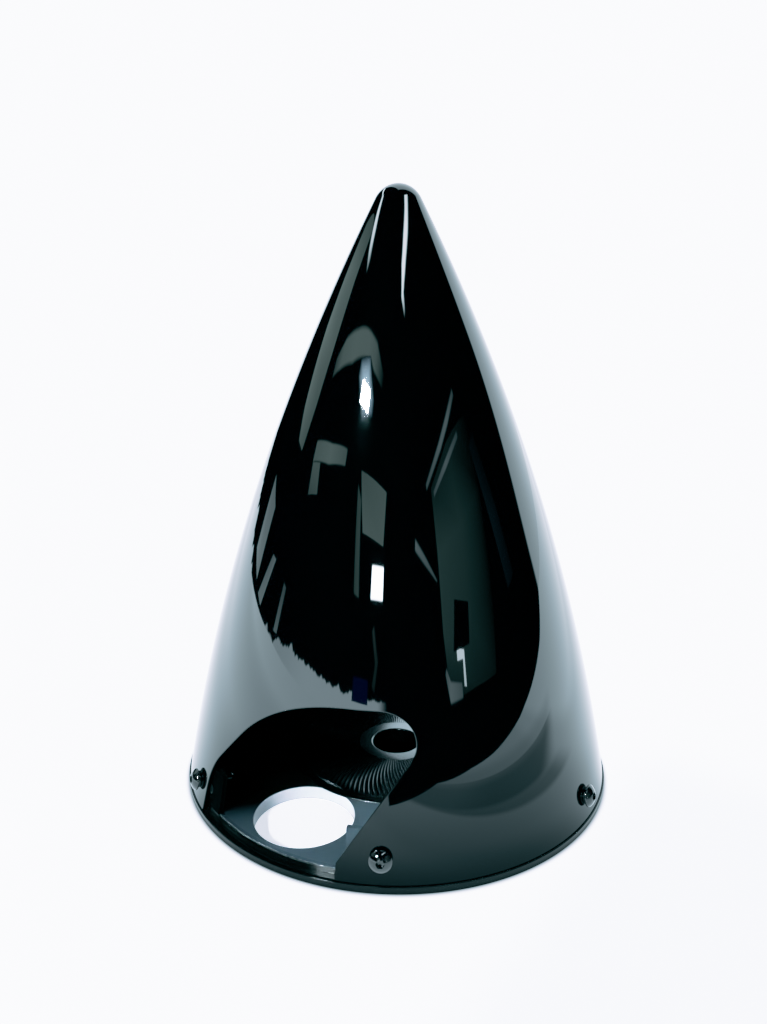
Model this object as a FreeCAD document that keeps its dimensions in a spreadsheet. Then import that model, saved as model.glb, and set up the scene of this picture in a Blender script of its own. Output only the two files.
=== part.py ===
import FreeCAD, Part
import math
import os
import Sketcher

# A two-blade propeller spinner: a glossy ogive shell with two blade cut-outs, screwed
# by six dome-head screws to the upright flange of a flat backplate. A ribbed hub disc
# sits in the middle of the plate. The origin is the centre of the plate's underside,
# +Z runs to the nose and the blades leave along -Y and +Y. Lengths are in millimetres
# and angles in degrees.

doc = FreeCAD.newDocument("spinner")

# ---------------------------------------------------------------- driving sizes

driving_sizes = {
    # the outer form
    "rim_radius": 100.0,
    "ogive_radius": 900.0,
    "base_lean": 10.3,
    "nose_radius": 11.0,
    "shell_wall": 2.2,
    # the blade cut-out, seen along the blade's axis
    "cut_top": 68.4,
    "cut_reach": 54.5,
    "cut_corner_radius": 14.0,
    "cut_rake": 62.2,
    "cut_foot_right": 33.0,
    "cut_crown_start": 30.0,
    "cut_crown_radius": 64.0,
    "cut_slope": 48.0,
    "cut_slope_length": 19.3,
    "cut_heel_radius": 37.0,
    "cut_heel_angle": 80.0,
    "blade_count": 2,
    # the backplate
    "rim_height": 3.3,
    "rim_chamfer": 0.4,
    "plate_thickness": 6.0,
    "seat_gap": 0.3,
    "flange_thickness": 2.2,
    "flange_top": 23.0,
    "trim_radius": 95.6,
    "trim_left": 18.5,
    "trim_right": 21.5,
    "lightening_radius": 21.4,
    "lightening_offset": 71.0,
    # the ribbed hub disc
    "bore_radius": 11.5,
    "bore_chamfer": 0.5,
    "pilot_radius": 17.0,
    "pilot_gap": 0.1,
    "hub_radius": 51.0,
    "hub_height": 2.0,
    "hub_edge": 0.6,
    "rib_count": 120,
    "rib_fill": 0.5,
    "rib_inner_radius": 18.0,
    "rib_outer_radius": 46.5,
    "rib_twist": 9.4,
    "rib_bend_radius": 47.5,
    "rib_depth": 1.2,
    # the screws and their washers
    "screw_count": 6,
    "screw_height": 13.4,
    "screw_radius": 2.5,
    "screw_hole_gap": 0.25,
    "head_radius": 4.7,
    "head_height": 2.9,
    "head_edge": 0.8,
    "socket_radius": 1.75,
    "socket_depth": 1.6,
    "tip_length": 1.0,
    "washer_thickness": 1.2,
    "washer_radius": 3.6,
    "washer_gap": 0.1,
    "washer_chamfer": 0.3,
    # the anchor nuts and their rivets
    "nut_radius": 4.0,
    "nut_length": 5.0,
    "thread_gap": 0.05,
    "lug_thickness": 1.2,
    "lug_half_height": 4.0,
    "lug_half_angle": 8.0,
    "rivet_angle": 5.4,
    "rivet_radius": 1.2,
    "rivet_hole_gap": 0.05,
    "rivet_head_radius": 2.1,
    "rivet_sink": 0.9,
    "rivet_head_height": 0.8,
}

sheet = doc.addObject("Spreadsheet::Sheet", "Sizes")
for row, (alias, number) in enumerate(driving_sizes.items(), start=1):
    sheet.set("A%d" % row, alias)
    sheet.set("B%d" % row, str(number))
    sheet.setAlias("B%d" % row, alias)
doc.recompute()


class Size:
    """A number together with the spreadsheet expression that gives it."""

    def __init__(self, value, text=None):
        self.value = float(value)
        self.text = text if text is not None else repr(float(value))

    def __add__(self, other):
        other = as_size(other)
        return Size(self.value + other.value, "(%s + %s)" % (self.text, other.text))

    def __sub__(self, other):
        other = as_size(other)
        return Size(self.value - other.value, "(%s - %s)" % (self.text, other.text))

    def __mul__(self, other):
        other = as_size(other)
        return Size(self.value * other.value, "(%s * %s)" % (self.text, other.text))

    def __truediv__(self, other):
        other = as_size(other)
        return Size(self.value / other.value, "(%s / %s)" % (self.text, other.text))

    def __neg__(self):
        return Size(-self.value, "(-1 * %s)" % self.text)


def as_size(number):
    return number if isinstance(number, Size) else Size(number)


def size(alias):
    return Size(sheet.get(alias), "Sizes." + alias)


def root(x):
    return Size(math.sqrt(x.value), "sqrt(%s)" % x.text)


def cosine(degrees):
    return Size(math.cos(math.radians(degrees.value)), "cos(%s * 1 deg)" % degrees.text)


def sine(degrees):
    return Size(math.sin(math.radians(degrees.value)), "sin(%s * 1 deg)" % degrees.text)


def tangent(degrees):
    return Size(math.tan(math.radians(degrees.value)), "tan(%s * 1 deg)" % degrees.text)


# ---------------------------------------------------------------- the ogive

# The shell's outline is one arc that leans in from the rim, closed by a small round
# nose that is tangent to it. Every layer of the wall is an arc about the same centre.

ogive_x = size("rim_radius") - size("ogive_radius") * cosine(size("base_lean"))
ogive_z = -(size("ogive_radius") * sine(size("base_lean")))


def radius_at(height, depth=0.0):
    """Radius of the layer that lies a given depth inside the shell's outer surface."""
    arc = size("ogive_radius") - depth
    rise = as_size(height) - ogive_z
    return ogive_x + root(arc * arc - rise * rise)


nose_reach = size("ogive_radius") - size("nose_radius")
nose_z = ogive_z + root(nose_reach * nose_reach - ogive_x * ogive_x)


def nose_joint(depth=0.0):
    """Where the ogive arc of a layer runs into its nose arc."""
    stretch = (size("ogive_radius") - depth) / nose_reach
    return ogive_x - ogive_x * stretch, ogive_z + (nose_z - ogive_z) * stretch


def flange_radius(height, depth):
    """Radius of the straight line that lies a given depth inside the outer surface at the
    screws' height, square to the screws."""
    rise = size("screw_height") - ogive_z
    run = root(size("ogive_radius") * size("ogive_radius") - rise * rise)
    above = as_size(height) - size("screw_height")
    return radius_at(size("screw_height")) - (as_size(depth) * size("ogive_radius") + above * rise) / run


# Depths below the outer surface, measured square to the wall.
flange_depth = size("shell_wall") + size("seat_gap")
lug_depth = flange_depth + size("flange_thickness")
nut_depth = lug_depth + size("lug_thickness")

# ---------------------------------------------------------------- sketch helpers

full_turn = 360.0


def origin_feature(body, role):
    return next(f for f in body.Origin.OriginFeatures if f.Role == role)


def new_body(label):
    body = doc.addObject("PartDesign::Body", label)
    body.Label = label
    return body


def new_sketch(body, name, role, offset=None):
    sketch = body.newObject("Sketcher::SketchObject", body.Name + "_" + name)
    sketch.AttachmentSupport = (origin_feature(body, role), "")
    sketch.MapMode = "FlatFace"
    if offset:
        sketch.setExpression("AttachmentOffset", offset)
    return sketch


def shift(x, y, z, axis="0; 0; 1", degrees="0"):
    """Expression for a move followed by a turn about one axis."""
    texts = tuple(as_size(v).text for v in (x, y, z)) + (axis, degrees)
    return "placement(vector(%s; %s; %s); rotation(vector(%s); %s * 1 deg))" % texts


def fix_point(sketch, edge, end, x, y):
    """Dimension one end of an edge from the sketch's origin. A plain 0 is the axis."""
    on_axis = {"DistanceX": -2, "DistanceY": -1}
    for kind, value in (("DistanceX", x), ("DistanceY", y)):
        if isinstance(value, Size):
            index = sketch.addConstraint(
                Sketcher.Constraint(kind, -1, 1, edge, end, value.value))
            sketch.setExpression("Constraints[%d]" % index, value.text)
        else:
            sketch.addConstraint(
                Sketcher.Constraint("PointOnObject", edge, end, on_axis[kind]))


def arc_between(start, end, radius):
    """Arc from start to end, its centre on the left where the radius is positive."""
    middle = (start + end) * 0.5
    chord = end - start
    left = FreeCAD.Vector(-chord.y, chord.x, 0).normalize()
    reach = math.sqrt(radius * radius - chord.Length ** 2 / 4)
    centre = middle + left * math.copysign(reach, radius)
    first, last = (start, end) if radius > 0 else (end, start)
    angles = [math.atan2(p.y - centre.y, p.x - centre.x) for p in (first, last)]
    circle = Part.Circle(centre, FreeCAD.Vector(0, 0, 1), abs(radius))
    return Part.ArcOfCircle(circle, *angles)


def closed_profile(sketch, corners):
    """Draw a closed outline from corners (x, y) or (x, y, radius of the next edge)."""
    points = []
    for corner in corners:
        points.append(FreeCAD.Vector(as_size(corner[0]).value, as_size(corner[1]).value, 0))
    ends = []
    for number, corner in enumerate(corners):
        start = points[number]
        end = points[(number + 1) % len(points)]
        if len(corner) == 2:
            edge = sketch.addGeometry(Part.LineSegment(start, end), False)
            ends.append((edge, 1, 2))
        else:
            radius = corner[2]
            edge = sketch.addGeometry(arc_between(start, end, radius.value), False)
            ends.append((edge, 1, 2) if radius.value > 0 else (edge, 2, 1))
    for number, (edge, first, last) in enumerate(ends):
        following, follow_first, _ = ends[(number + 1) % len(ends)]
        sketch.addConstraint(
            Sketcher.Constraint("Coincident", edge, last, following, follow_first))
        fix_point(sketch, edge, first, corners[number][0], corners[number][1])
        if len(corners[number]) == 3:
            radius = corners[number][2]
            index = sketch.addConstraint(
                Sketcher.Constraint("Radius", edge, abs(radius.value)))
            sketch.setExpression("Constraints[%d]" % index, "abs(%s)" % radius.text)


def circle(sketch, x, y, radius):
    centre = FreeCAD.Vector(as_size(x).value, as_size(y).value, 0)
    shape = Part.Circle(centre, FreeCAD.Vector(0, 0, 1), radius.value)
    edge = sketch.addGeometry(shape, False)
    fix_point(sketch, edge, 3, x, y)
    index = sketch.addConstraint(Sketcher.Constraint("Radius", edge, radius.value))
    sketch.setExpression("Constraints[%d]" % index, radius.text)


def turned(body, kind, name, sketch, axis, angle=full_turn):
    feature = body.newObject("PartDesign::" + kind, body.Name + "_" + name)
    feature.Profile = sketch
    feature.ReferenceAxis = (sketch, [axis])
    feature.Angle = angle
    return feature


def extruded(body, kind, name, sketch, length, reverse=False):
    feature = body.newObject("PartDesign::" + kind, body.Name + "_" + name)
    feature.Profile = sketch
    feature.setExpression("Length", as_size(length).text)
    feature.Reversed = reverse
    return feature


def around(body, name, features, count):
    """Repeat features evenly about the spinner's axis."""
    pattern = body.newObject("PartDesign::PolarPattern", body.Name + "_" + name)
    pattern.Originals = features
    pattern.Axis = (origin_feature(body, "Z_Axis"), [""])
    pattern.Angle = full_turn
    pattern.setExpression("Occurrences", count.text)
    body.Tip = pattern
    return pattern


def screw_axis(azimuth=0.0):
    """Sketch offset on the XZ plane whose x axis runs out through the shell, square to
    its surface at the screws' height, turned from +X by the azimuth."""
    height = size("screw_height")
    lean = "asin(%s)" % ((height - ogive_z) / size("ogive_radius")).text
    turn = shift(0, 0, 0, "0; 1; 0", as_size(azimuth).text)
    tilt = "placement(vector(%s; %s; 0); rotation(vector(0; 0; 1); %s))" % (
        radius_at(height).text, height.text, lean)
    return "%s * %s" % (turn, tilt)


# ---------------------------------------------------------------- the shell


def make_shell():
    body = new_body("spinner_shell")
    wall = size("shell_wall")
    foot = size("rim_height")
    outer_joint = nose_joint()
    inner_joint = nose_joint(wall)
    profile = new_sketch(body, "profile", "XZ_Plane")
    closed_profile(profile, [
        (radius_at(foot), foot, size("ogive_radius")),
        (*outer_joint, size("nose_radius")),
        (0, nose_z + size("nose_radius")),
        (0, nose_z + size("nose_radius") - wall, wall - size("nose_radius")),
        (*inner_joint, wall - size("ogive_radius")),
        (radius_at(foot, wall), foot),
    ])
    turned(body, "Revolution", "wall", profile, "V_Axis")

    # One cut-out along -Y, skewed as the pitched blade root is, and its twin along +Y.
    top = size("cut_top")
    corner_x = size("cut_reach") - size("cut_corner_radius")
    corner_z = top - size("cut_corner_radius")
    rake_x = corner_x + size("cut_corner_radius") * sine(size("cut_rake"))
    rake_z = corner_z - size("cut_corner_radius") * cosine(size("cut_rake"))
    step_z = rake_z - (rake_x - size("cut_foot_right")) * tangent(size("cut_rake"))
    crown_x = size("cut_crown_start") - size("cut_crown_radius") * sine(size("cut_slope"))
    crown_z = top - size("cut_crown_radius") + size("cut_crown_radius") * cosine(size("cut_slope"))
    slope_x = crown_x - size("cut_slope_length") * cosine(size("cut_slope"))
    slope_z = crown_z - size("cut_slope_length") * sine(size("cut_slope"))
    heel = size("cut_heel_radius")
    heel_x = slope_x + heel * (sine(size("cut_slope")) - sine(size("cut_heel_angle")))
    heel_z = slope_z - heel * (cosine(size("cut_slope")) - cosine(size("cut_heel_angle")))
    foot_x = heel_x - heel_z / tangent(size("cut_heel_angle"))
    outline = new_sketch(body, "blade_outline", "XZ_Plane")
    closed_profile(outline, [
        (foot_x, 0),
        (size("cut_foot_right"), 0),
        (size("cut_foot_right"), step_z),
        (rake_x, rake_z, size("cut_corner_radius")),
        (corner_x, top),
        (size("cut_crown_start"), top, size("cut_crown_radius")),
        (crown_x, crown_z),
        (slope_x, slope_z, heel),
        (heel_x, heel_z),
    ])
    opening = extruded(body, "Pocket", "blade_opening", outline, size("rim_radius"), True)
    around(body, "blade_openings", [opening], size("blade_count"))

    hole_radius = size("screw_radius") + size("screw_hole_gap")
    drill = new_sketch(body, "screw_hole_profile", "XZ_Plane", screw_axis())
    closed_profile(drill, [
        (-(wall + wall), 0),
        (wall, 0),
        (wall, hole_radius),
        (-(wall + wall), hole_radius),
    ])
    hole = turned(body, "Groove", "screw_hole", drill, "H_Axis")
    around(body, "screw_holes", [hole], size("screw_count"))
    return body


# ---------------------------------------------------------------- the backplate


def sector(sketch, inner, outer, start, end):
    """Ring sector between two radii and two azimuths."""
    closed_profile(sketch, [
        (inner * cosine(start), inner * sine(start)),
        (outer * cosine(start), outer * sine(start), outer),
        (outer * cosine(end), outer * sine(end)),
        (inner * cosine(end), inner * sine(end), -inner),
    ])


def make_backplate():
    body = new_body("backplate")
    rim = size("rim_radius")
    ledge = size("rim_height")
    chamfer = size("rim_chamfer")
    plate = size("plate_thickness")
    top = size("flange_top")
    hole_radius = size("pilot_radius") + size("pilot_gap")
    profile = new_sketch(body, "profile", "XZ_Plane")
    closed_profile(profile, [
        (hole_radius, 0),
        (rim - chamfer, 0),
        (rim, chamfer),
        (rim, ledge),
        (flange_radius(ledge, flange_depth), ledge),
        (flange_radius(top, flange_depth), top),
        (flange_radius(top, lug_depth), top),
        (flange_radius(plate, lug_depth), plate),
        (hole_radius, plate),
    ])
    turned(body, "Revolution", "pan", profile, "V_Axis")

    reach = size("flange_thickness") + size("seat_gap")
    drill_radius = size("screw_radius") + size("screw_hole_gap")
    drill = new_sketch(body, "screw_hole_profile", "XZ_Plane", screw_axis())
    closed_profile(drill, [
        (-(lug_depth + reach), 0),
        (-(flange_depth - reach), 0),
        (-(flange_depth - reach), drill_radius),
        (-(lug_depth + reach), drill_radius),
    ])
    cuts = [turned(body, "Groove", "screw_hole", drill, "H_Axis")]
    for side, sign in (("left", -1.0), ("right", 1.0)):
        azimuth = size("rivet_angle") * sign
        sketch = new_sketch(body, "rivet_profile_" + side, "XZ_Plane", screw_axis(azimuth))
        rivet_hole(sketch, reach)
        cuts.append(turned(body, "Groove", "rivet_hole_" + side, sketch, "H_Axis"))
    around(body, "fixings", cuts, size("screw_count"))

    # The flange is sawn away where the blades pass, down to the plate and then down to
    # the ledge that the shell stands on.
    blade_azimuth = Size(-90.0)
    start = blade_azimuth - size("trim_left")
    end = blade_azimuth + size("trim_right")
    past_rim = rim + size("shell_wall")
    above = new_sketch(body, "trim_above_outline", "XY_Plane", shift(0, 0, plate))
    sector(above, flange_radius(top, nut_depth), past_rim, start, end)
    trim_above = extruded(body, "Pocket", "trim_above", above, top, True)
    below = new_sketch(body, "trim_below_outline", "XY_Plane", shift(0, 0, ledge))
    sector(below, size("trim_radius"), past_rim, start, end)
    trim_below = extruded(body, "Pocket", "trim_below", below, top, True)
    holes = new_sketch(body, "lightening_outline", "XY_Plane", shift(0, 0, plate))
    circle(holes, 0, -size("lightening_offset"), size("lightening_radius"))
    lightening = extruded(body, "Pocket", "lightening_hole", holes, plate + plate)
    around(body, "at_each_blade", [trim_above, trim_below, lightening], size("blade_count"))
    return body


def rivet_hole(sketch, reach):
    """Countersunk hole through the flange, about the sketch's x axis."""
    shank = size("rivet_radius") + size("rivet_hole_gap")
    head = size("rivet_head_radius") + size("rivet_hole_gap")
    closed_profile(sketch, [
        (-(lug_depth + reach), 0),
        (-(flange_depth - reach), 0),
        (-(flange_depth - reach), head),
        (-flange_depth, head),
        (-(flange_depth + size("rivet_sink")), shank),
        (-(lug_depth + reach), shank),
    ])


# ---------------------------------------------------------------- the hub disc


def make_hub_disc():
    body = new_body("hub_disc")
    bore = size("bore_radius")
    chamfer = size("bore_chamfer")
    plate = size("plate_thickness")
    top = plate + size("hub_height")
    floor = top - size("rib_depth")
    profile = new_sketch(body, "profile", "XZ_Plane")
    closed_profile(profile, [
        (bore, 0),
        (size("pilot_radius"), 0),
        (size("pilot_radius"), plate),
        (size("hub_radius"), plate),
        (size("hub_radius"), plate + size("hub_edge")),
        (size("rib_outer_radius"), floor),
        (size("rib_inner_radius"), floor),
        (size("rib_inner_radius"), top),
        (bore + chamfer, top),
        (bore, top - chamfer),
    ])
    turned(body, "Revolution", "disc", profile, "V_Axis")

    # One curved rib, from the flat inner ring out to the disc's sloping edge.
    inner = size("rib_inner_radius")
    outer = size("rib_outer_radius")
    width = Size(full_turn) / size("rib_count") * size("rib_fill")
    twist = size("rib_twist")
    bend = size("rib_bend_radius")
    outline = new_sketch(body, "rib_outline", "XY_Plane", shift(0, 0, floor))
    closed_profile(outline, [
        (inner, 0, bend),
        (outer * cosine(twist), outer * sine(twist)),
        (outer * cosine(twist + width), outer * sine(twist + width), -bend),
        (inner * cosine(width), inner * sine(width)),
    ])
    rib = extruded(body, "Pad", "rib", outline, size("rib_depth"))
    around(body, "ribs", [rib], size("rib_count"))
    return body


# ---------------------------------------------------------------- the fixings

# Each fixing is modelled on the screw axis over +X and then turned about Z.


def place_around(body, azimuth):
    body.setExpression("Placement", shift(0, 0, 0, "0; 0; 1", azimuth.text))


def screw_azimuth(number):
    return Size(full_turn) / size("screw_count") * Size(number)


def make_screw(number):
    body = new_body("screw_%d" % (number + 1))
    seat = size("washer_thickness")
    shank = size("screw_radius")
    head = size("head_radius")
    edge = size("head_edge")
    crown = size("head_height") - edge
    dome = (head * head + crown * crown) / (crown * 2.0)
    tip = nut_depth + size("nut_length") + size("tip_length")
    chamfer = edge / 4.0
    profile = new_sketch(body, "profile", "XZ_Plane", screw_axis())
    closed_profile(profile, [
        (-tip, 0),
        (seat + size("head_height"), 0, dome),
        (seat + edge, head),
        (seat + chamfer, head),
        (seat, head - chamfer),
        (seat, shank),
        (-(tip - size("tip_length")), shank),
        (-tip, shank - size("tip_length") / 2.0),
    ])
    turned(body, "Revolution", "turned_form", profile, "H_Axis")

    height = size("screw_height")
    lean = "(-1) * asin(%s)" % ((height - ogive_z) / size("ogive_radius")).text
    face = "placement(vector(0; %s; %s); rotation(vector(1; 0; 0); %s)) * %s" % (
        height.text, radius_at(height).text, lean, shift(0, 0, seat + size("head_height")))
    hexagon = new_sketch(body, "socket_outline", "YZ_Plane", face)
    corners = []
    for side in range(6):
        angle = Size(60.0 * side + 30.0)
        across = size("socket_radius")
        corners.append((across * cosine(angle), across * sine(angle)))
    closed_profile(hexagon, corners)
    extruded(body, "Pocket", "socket", hexagon, size("socket_depth"))
    place_around(body, screw_azimuth(number))
    return body


def make_washer(number):
    body = new_body("washer_%d" % (number + 1))
    thick = size("washer_thickness")
    inner = size("screw_radius") + size("washer_gap")
    outer = size("washer_radius")
    chamfer = size("washer_chamfer")
    profile = new_sketch(body, "profile", "XZ_Plane", screw_axis())
    closed_profile(profile, [
        (0, inner),
        (thick, inner),
        (thick, outer - chamfer),
        (thick - chamfer, outer),
        (chamfer, outer),
        (0, outer - chamfer),
    ])
    turned(body, "Revolution", "ring", profile, "H_Axis")
    place_around(body, screw_azimuth(number))
    return body


def make_anchor_nut(number):
    """A nut on a lug plate that follows the inner face of the flange."""
    body = new_body("anchor_nut_%d" % (number + 1))
    middle = size("screw_height")
    low = middle - size("lug_half_height")
    high = middle + size("lug_half_height")
    lugs = new_sketch(body, "lug_profile", "XZ_Plane")
    closed_profile(lugs, [
        (flange_radius(low, nut_depth), low),
        (flange_radius(low, lug_depth), low),
        (flange_radius(high, lug_depth), high),
        (flange_radius(high, nut_depth), high),
    ])
    plate = turned(body, "Revolution", "lug_plate", lugs, "V_Axis")
    plate.setExpression("Angle", (size("lug_half_angle") * 2.0).text)
    plate.Midplane = True

    thread = size("screw_radius") + size("thread_gap")
    inside = nut_depth - size("lug_thickness") / 2.0
    barrel = new_sketch(body, "barrel_profile", "XZ_Plane", screw_axis())
    closed_profile(barrel, [
        (-(nut_depth + size("nut_length")), thread),
        (-inside, thread),
        (-inside, size("nut_radius")),
        (-(nut_depth + size("nut_length")), size("nut_radius")),
    ])
    turned(body, "Revolution", "barrel", barrel, "H_Axis")

    reach = size("lug_thickness")
    for name, azimuth, radius in (
            ("thread", Size(0.0), thread),
            ("rivet_left", -size("rivet_angle"), size("rivet_radius") + size("rivet_hole_gap")),
            ("rivet_right", size("rivet_angle"), size("rivet_radius") + size("rivet_hole_gap"))):
        drill = new_sketch(body, name + "_profile", "XZ_Plane", screw_axis(azimuth))
        closed_profile(drill, [
            (-(nut_depth + reach), 0),
            (-(lug_depth - reach), 0),
            (-(lug_depth - reach), radius),
            (-(nut_depth + reach), radius),
        ])
        turned(body, "Groove", name, drill, "H_Axis")
    place_around(body, screw_azimuth(number))
    return body


def make_rivet(number):
    """Countersunk rivet, two to each anchor nut."""
    body = new_body("rivet_%d" % (number + 1))
    head = size("rivet_head_radius")
    shank = size("rivet_radius")
    seat = nut_depth + size("rivet_hole_gap")
    profile = new_sketch(body, "profile", "XZ_Plane", screw_axis())
    closed_profile(profile, [
        (-(seat + size("rivet_head_height")), 0),
        (-flange_depth, 0),
        (-flange_depth, head),
        (-(flange_depth + size("rivet_sink")), shank),
        (-seat, shank),
        (-seat, head),
        (-(seat + size("rivet_head_height") / 2.0), head),
        (-(seat + size("rivet_head_height")), shank),
    ])
    turned(body, "Revolution", "set_form", profile, "H_Axis")
    side = -1.0 if number % 2 == 0 else 1.0
    place_around(body, screw_azimuth(number // 2) + size("rivet_angle") * side)
    return body


# ---------------------------------------------------------------- build and write

sub_parts = [make_shell(), make_backplate(), make_hub_disc()]
for number in range(int(sheet.get("screw_count"))):
    sub_parts.append(make_screw(number))
    sub_parts.append(make_washer(number))
    sub_parts.append(make_anchor_nut(number))
    sub_parts.append(make_rivet(2 * number))
    sub_parts.append(make_rivet(2 * number + 1))
doc.recompute()

for item in doc.Objects:
    if "Invalid" in item.State or "Error" in item.State:
        raise RuntimeError("%s failed: %s" % (item.Name, item.State))
for part in sub_parts:
    if part.Shape.isNull() or not part.Shape.isValid() or not part.Shape.Solids:
        raise RuntimeError("%s has no valid solid" % part.Label)

os.makedirs("parts", exist_ok=True)
for part in sub_parts:
    part.Shape.exportStep("parts/%s.step" % part.Label)
    print("%-16s %d solid(s) %10.1f mm3" % (part.Label, len(part.Shape.Solids), part.Shape.Volume))
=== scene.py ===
import math

import bmesh
import bpy
from mathutils import Matrix, Vector
from mathutils.geometry import delaunay_2d_cdt


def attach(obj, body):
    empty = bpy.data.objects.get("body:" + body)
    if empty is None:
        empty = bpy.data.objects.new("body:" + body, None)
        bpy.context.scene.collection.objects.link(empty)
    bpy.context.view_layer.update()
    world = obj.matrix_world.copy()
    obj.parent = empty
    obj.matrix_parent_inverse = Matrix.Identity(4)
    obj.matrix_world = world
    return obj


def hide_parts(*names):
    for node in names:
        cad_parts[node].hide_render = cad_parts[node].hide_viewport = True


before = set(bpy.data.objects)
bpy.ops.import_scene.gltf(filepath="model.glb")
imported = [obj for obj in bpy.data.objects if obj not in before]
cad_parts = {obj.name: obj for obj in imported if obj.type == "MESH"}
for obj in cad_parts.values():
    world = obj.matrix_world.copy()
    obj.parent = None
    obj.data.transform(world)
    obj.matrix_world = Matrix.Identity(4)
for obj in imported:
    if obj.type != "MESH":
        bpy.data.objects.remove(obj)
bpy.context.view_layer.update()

# A two-blade propeller spinner on its backplate. Sizes are in millimetres and degrees and
# become metres when a mesh is made. +Z runs to the nose, the blades leave along -Y and +Y.

metresPerUnit = 0.001
bladeAzimuth = -90.0  # the cut-out that faces the viewer; its twin is half a turn away
halfTurn = 180.0
fullTurn = 360.0

shell = {
    "rimRadius": 100.0,
    "ogiveRadius": 900.0,  # the one arc of the outline
    "baseLean": 10.3,
    "noseRadius": 11.0,
    "wall": 2.2,
    "foot": 3.3,  # height of the ledge it stands on
    "edgeRound": 0.55,  # rounding of the cut-outs and the foot
    "holeRound": 0.2,
    "bandTop": 76.0,  # the cut-outs and screw holes lie below this height
    "spacing": 3.0,  # of the surface points
    "edgeRoom": 0.55,  # share of the spacing that is left free beside an edge
    "ogiveRings": 56,
    "noseRings": 20,
    "slot": "gloss_black_shell",
}

ogiveX = shell["rimRadius"] - shell["ogiveRadius"] * math.cos(math.radians(shell["baseLean"]))
ogiveZ = -shell["ogiveRadius"] * math.sin(math.radians(shell["baseLean"]))
noseReach = shell["ogiveRadius"] - shell["noseRadius"]
noseZ = ogiveZ + math.sqrt(noseReach ** 2 - ogiveX ** 2)


def ogiveRadiusAt(height, depth=0.0):
    arc = shell["ogiveRadius"] - depth
    return ogiveX + math.sqrt(arc ** 2 - (height - ogiveZ) ** 2)


def ogiveNormal(azimuth, height, depth=0.0):
    arc = shell["ogiveRadius"] - depth
    lift = (height - ogiveZ) / arc
    out = math.sqrt(1.0 - lift ** 2)
    return Vector((out * math.cos(azimuth), out * math.sin(azimuth), lift))


def ogivePoint(azimuth, height, depth=0.0):
    radius = ogiveRadiusAt(height, depth)
    return Vector((radius * math.cos(azimuth), radius * math.sin(azimuth), height))


def newPiece(name, points, faces):
    mesh = bpy.data.meshes.new(name)
    mesh.from_pydata(points, [], faces)
    piece = bpy.data.objects.new(name, mesh)
    bpy.context.scene.collection.objects.link(piece)
    return piece


class Surface:
    # Points with their own normals, merged by place, and faces turned to agree with them.
    def __init__(self):
        self.places = {}
        self.points = []
        self.normals = []
        self.faces = []

    def point(self, place, normal):
        key = tuple(round(c, 3) for c in place)
        if key not in self.places:
            self.places[key] = len(self.points)
            self.points.append(Vector(place))
            self.normals.append(Vector(normal).normalized())
        return self.places[key]

    def face(self, corners):
        corners = [c for i, c in enumerate(corners) if c != corners[i - 1]]
        if len(set(corners)) < 3:
            return
        first, second, third = (self.points[corners[i]] for i in (0, 1, 2))
        across = (second - first).cross(third - first)
        if len(corners) > 3:
            across = across + (third - first).cross(self.points[corners[3]] - first)
        towards = sum((self.normals[c] for c in corners), Vector())
        self.faces.append(corners if across.dot(towards) > 0 else corners[::-1])

    def strip(self, rows, closed=False):
        # Faces between neighbouring rows of point numbers.
        for upper, lower in zip(rows, rows[1:]):
            count = len(upper)
            for i in range(count if closed else count - 1):
                j = (i + 1) % count
                self.face([upper[i], upper[j], lower[j], lower[i]])

    def plain(self, name):
        return newPiece(name, [p * metresPerUnit for p in self.points], self.faces)

    def build(self, name):
        # With its own normals, which follow the curved faces exactly.
        piece = self.plain(name)
        piece.data.shade_smooth()
        piece.data.normals_split_custom_set_from_vertices(self.normals)
        piece.data.update()
        return piece


def turned(vector, degrees):
    return Matrix.Rotation(math.radians(degrees), 3, "Z") @ vector


def bezier(first, control, last, t):
    return first * (1 - t) ** 2 + control * (2 * t * (1 - t)) + last * t ** 2


def insideLoops(x, y, loops):
    inside = False
    for loop in loops:
        for (ax, ay), (bx, by) in zip(loop, loop[1:] + loop[:1]):
            if (ay > y) != (by > y) and x < (bx - ax) * (y - ay) / (by - ay) + ax:
                inside = not inside
    return inside


def fillLoops(loops, grid):
    # Triangles of the flat region between closed loops, with grid points inside it.
    points = []
    edges = []
    for loop in loops:
        start = len(points)
        points.extend(loop)
        count = len(loop)
        edges.extend((start + i, start + (i + 1) % count) for i in range(count))
    points.extend(grid)
    flat = [Vector(p) for p in points]
    _, _, faces, origins, _, _ = delaunay_2d_cdt(flat, edges, [], 0, 1e-6)
    triangles = []
    for face in faces:
        corners = [origins[i][0] for i in face]
        x = sum(points[c][0] for c in corners) / len(corners)
        y = sum(points[c][1] for c in corners) / len(corners)
        if insideLoops(x, y, loops):
            triangles.append(corners)
    return points, triangles


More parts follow.
